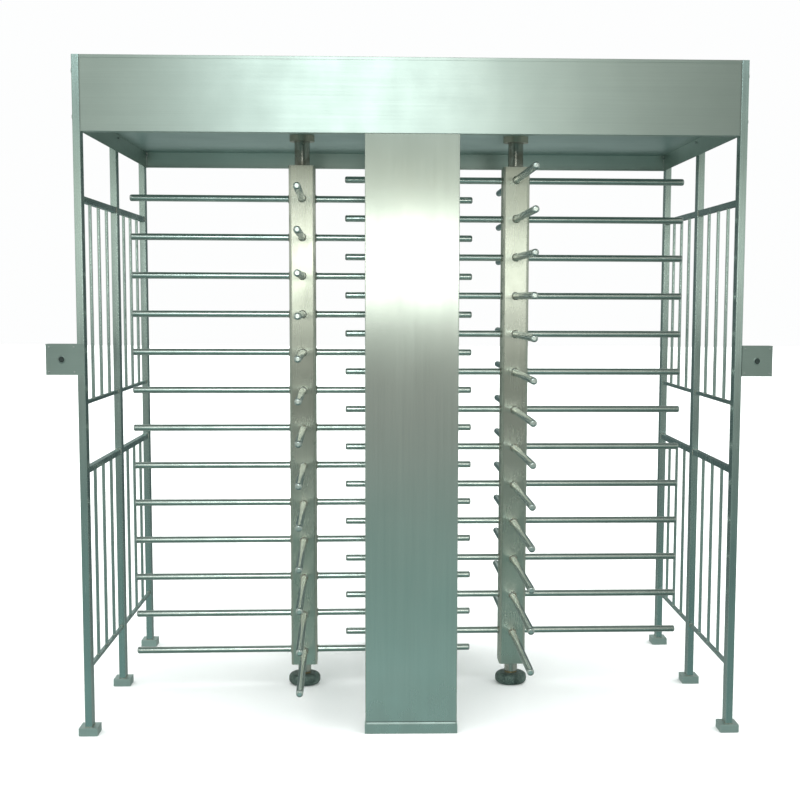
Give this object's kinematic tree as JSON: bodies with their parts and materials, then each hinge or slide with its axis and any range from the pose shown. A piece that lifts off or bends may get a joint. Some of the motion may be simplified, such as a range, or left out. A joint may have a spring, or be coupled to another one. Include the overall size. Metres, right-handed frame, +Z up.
{
  "type": "visitor counter turnstile",
  "caption": "Twin-lane full-height turnstile: two rotors of horizontal arms under a boxed canopy, between barred side frames and flat centre screens, with a lock and a counter on each rotor.",
  "frame": {"origin": "on the floor, midway between the side frames and between the front and rear posts", "axes": "+X across the lanes to the right seen from the entry side, -Y towards the entry side with the push-button stations, +Z up"},
  "size_m": [2.458, 1.345, 2.3],
  "materials": {
    "frame_stainless": "brushed along the tube",
    "foot_stainless": "brushed, floor-level wear",
    "canopy_stainless": "horizontal brushed grain",
    "soffit_stainless": "brushed, in shade",
    "screen_stainless": "vertical brushed grain",
    "column_stainless": "brushed with handling smears",
    "arm_stainless": "polished round tube",
    "machined_steel": "turned",
    "fastener_steel": "plain",
    "floor_disc_iron": "dark, oiled",
    "bush_bronze": "turned bronze",
    "structural_steel": "grey primer",
    "housing_iron": "as cast",
    "solenoid_paint": "semi-gloss black",
    "sensor_plastic": "moulded",
    "control_box_paint": "powder coat",
    "gland_plastic": "moulded",
    "station_stainless": "brushed",
    "button_plastic": "moulded, dark",
    "switch_plastic": "moulded"
  },
  "bodies": {
    "frame": {"left_front_post": "frame_stainless", "left_middle_post": "frame_stainless", "left_rear_post": "frame_stainless", "right_front_post": "frame_stainless", "right_middle_post": "frame_stainless", "right_rear_post": "frame_stainless", "left_infill_rails": "frame_stainless", "right_infill_rails": "frame_stainless", "left_infill_bars": "frame_stainless", "right_infill_bars": "frame_stainless", "post_base_plates": "frame_stainless", "post_foot_covers": "foot_stainless", "canopy_front_fascia": "canopy_stainless", "canopy_rear_fascia": "canopy_stainless", "canopy_ends": "canopy_stainless", "canopy_lid": "canopy_stainless", "canopy_soffit": "soffit_stainless", "soffit_collars": "soffit_stainless", "front_centre_screen": "screen_stainless", "rear_centre_screen": "screen_stainless", "screen_plinths": "screen_stainless", "pawl_pins": "machined_steel", "frame_bolts": "fastener_steel", "station_screws": "fastener_steel", "floor_discs": "floor_disc_iron", "pivot_bushes": "bush_bronze", "bearing_beams": "structural_steel", "bearing_plates": "structural_steel", "bearing_housings": "housing_iron", "solenoid_bodies": "solenoid_paint", "count_sensors": "sensor_plastic", "control_box": "control_box_paint", "control_box_lid": "control_box_paint", "cable_gland": "gland_plastic", "left_station_box": "station_stainless", "right_station_box": "station_stainless", "left_station_plate": "station_stainless", "right_station_plate": "station_stainless", "button_switches": "switch_plastic"},
    "left_rotor": {"left_rotor_column": "column_stainless", "left_rotor_end_plates": "column_stainless", "left_rotor_shaft": "machined_steel", "left_rotor_neck": "machined_steel", "left_rotor_arms": "arm_stainless", "left_rotor_arm_caps": "arm_stainless", "left_lock_wheel": "machined_steel"},
    "left_pawl": {"left_lock_pawl": "machined_steel"},
    "left_plunger": {"left_solenoid_plunger": "machined_steel"},
    "left_button": {"left_push_button": "button_plastic"},
    "right_rotor": {"right_rotor_column": "column_stainless", "right_rotor_end_plates": "column_stainless", "right_rotor_shaft": "machined_steel", "right_rotor_neck": "machined_steel", "right_rotor_arms": "arm_stainless", "right_rotor_arm_caps": "arm_stainless", "right_lock_wheel": "machined_steel"},
    "right_pawl": {"right_lock_pawl": "machined_steel"},
    "right_plunger": {"right_solenoid_plunger": "machined_steel"},
    "right_button": {"right_push_button": "button_plastic"}
  },
  "joints": [
    {"name": "left_rotor_spin", "type": "hinge", "parent": "frame", "child": "left_rotor", "pos_m": [-0.405, 0, 1], "axis": [0, 0, 1], "continuous": true},
    {"name": "left_pawl_swing", "type": "hinge", "parent": "frame", "child": "left_pawl", "pos_m": [-0.485, -0.125, 2.207], "axis": [0, 0, 1], "range_deg": [0, 6.2], "stiffness_Nm_per_rad": 2},
    {"name": "left_plunger_slide", "type": "slide", "parent": "frame", "child": "left_plunger", "axis": [0, 1, 0], "range_m": [0, 0.013]},
    {"name": "left_button_press", "type": "slide", "parent": "frame", "child": "left_button", "axis": [0, 1, 0], "range_m": [0, 0.003], "stiffness_N_per_m": 500},
    {"name": "right_rotor_spin", "type": "hinge", "parent": "frame", "child": "right_rotor", "pos_m": [0.405, 0, 1], "axis": [0, 0, 1], "continuous": true},
    {"name": "right_pawl_swing", "type": "hinge", "parent": "frame", "child": "right_pawl", "pos_m": [0.325, -0.125, 2.207], "axis": [0, 0, 1], "range_deg": [0, 6.2], "stiffness_Nm_per_rad": 2},
    {"name": "right_plunger_slide", "type": "slide", "parent": "frame", "child": "right_plunger", "axis": [0, 1, 0], "range_m": [0, 0.013]},
    {"name": "right_button_press", "type": "slide", "parent": "frame", "child": "right_button", "axis": [0, 1, 0], "range_m": [0, 0.003], "stiffness_N_per_m": 500}
  ],
  "couplings": [
    {"joint": "left_plunger_slide", "follows": "left_pawl_swing", "m_per_rad": 0.12},
    {"joint": "right_plunger_slide", "follows": "right_pawl_swing", "m_per_rad": 0.12}
  ]
}
